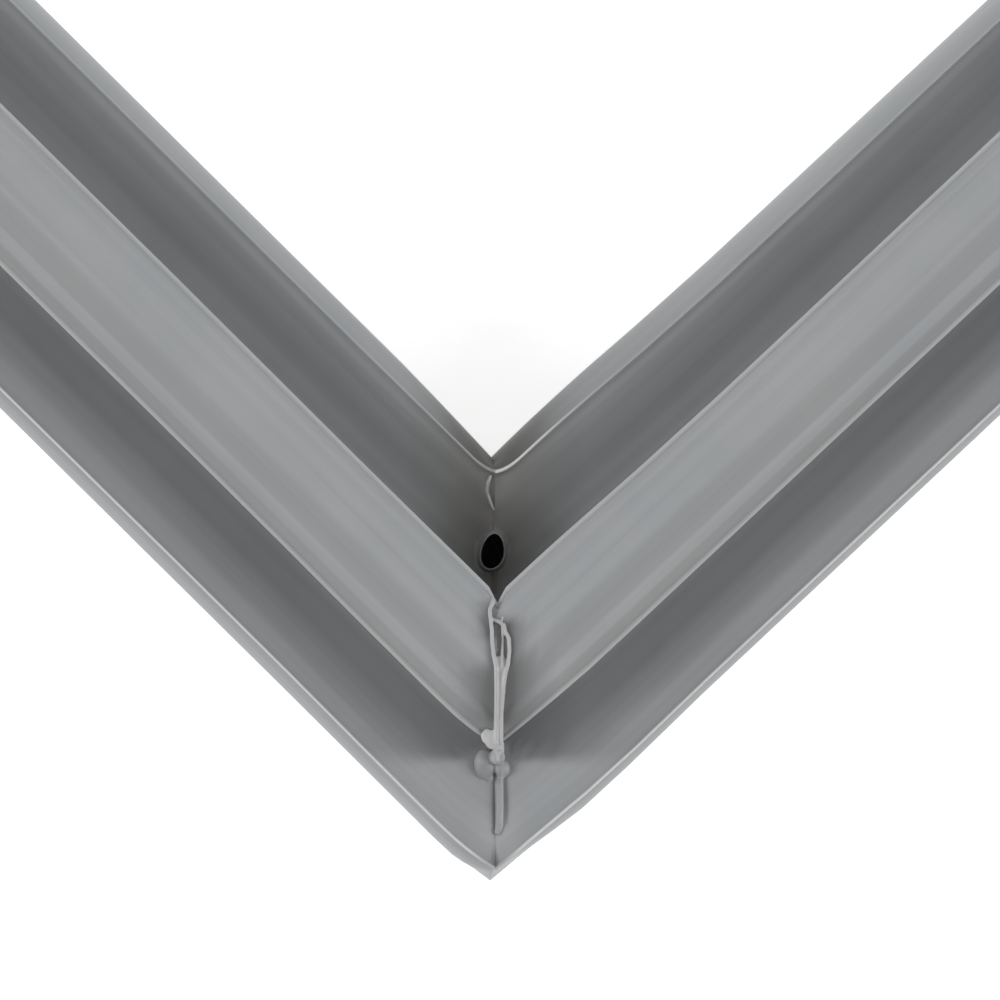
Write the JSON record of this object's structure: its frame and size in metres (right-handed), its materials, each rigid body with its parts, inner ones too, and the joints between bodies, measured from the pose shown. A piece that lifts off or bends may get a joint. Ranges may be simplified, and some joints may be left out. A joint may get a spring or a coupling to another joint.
{
  "type": "refrigerator door gasket",
  "caption": "Rectangular push-in magnetic door gasket of soft grey PVC, with a hollow bulb, curled wings, a barbed dart and welded mitred corners.",
  "frame": {"origin": "middle of the rectangle, in the plane of the flat sealing face", "axes": "+Y along the long sides, +X along the short sides, +Z from the sealing face towards the dart, which goes into the door"},
  "size_m": [0.52, 0.6, 0.0226],
  "materials": {
    "soft_pvc": "satin soft extruded PVC",
    "magnet": "dull ferrite filled strip"
  },
  "bodies": {
    "root": {"gasket_profile": "soft_pvc", "magnet_strip_left": "magnet", "magnet_strip_right": "magnet", "magnet_strip_bottom": "magnet", "magnet_strip_top": "magnet"}
  },
  "joints": []
}
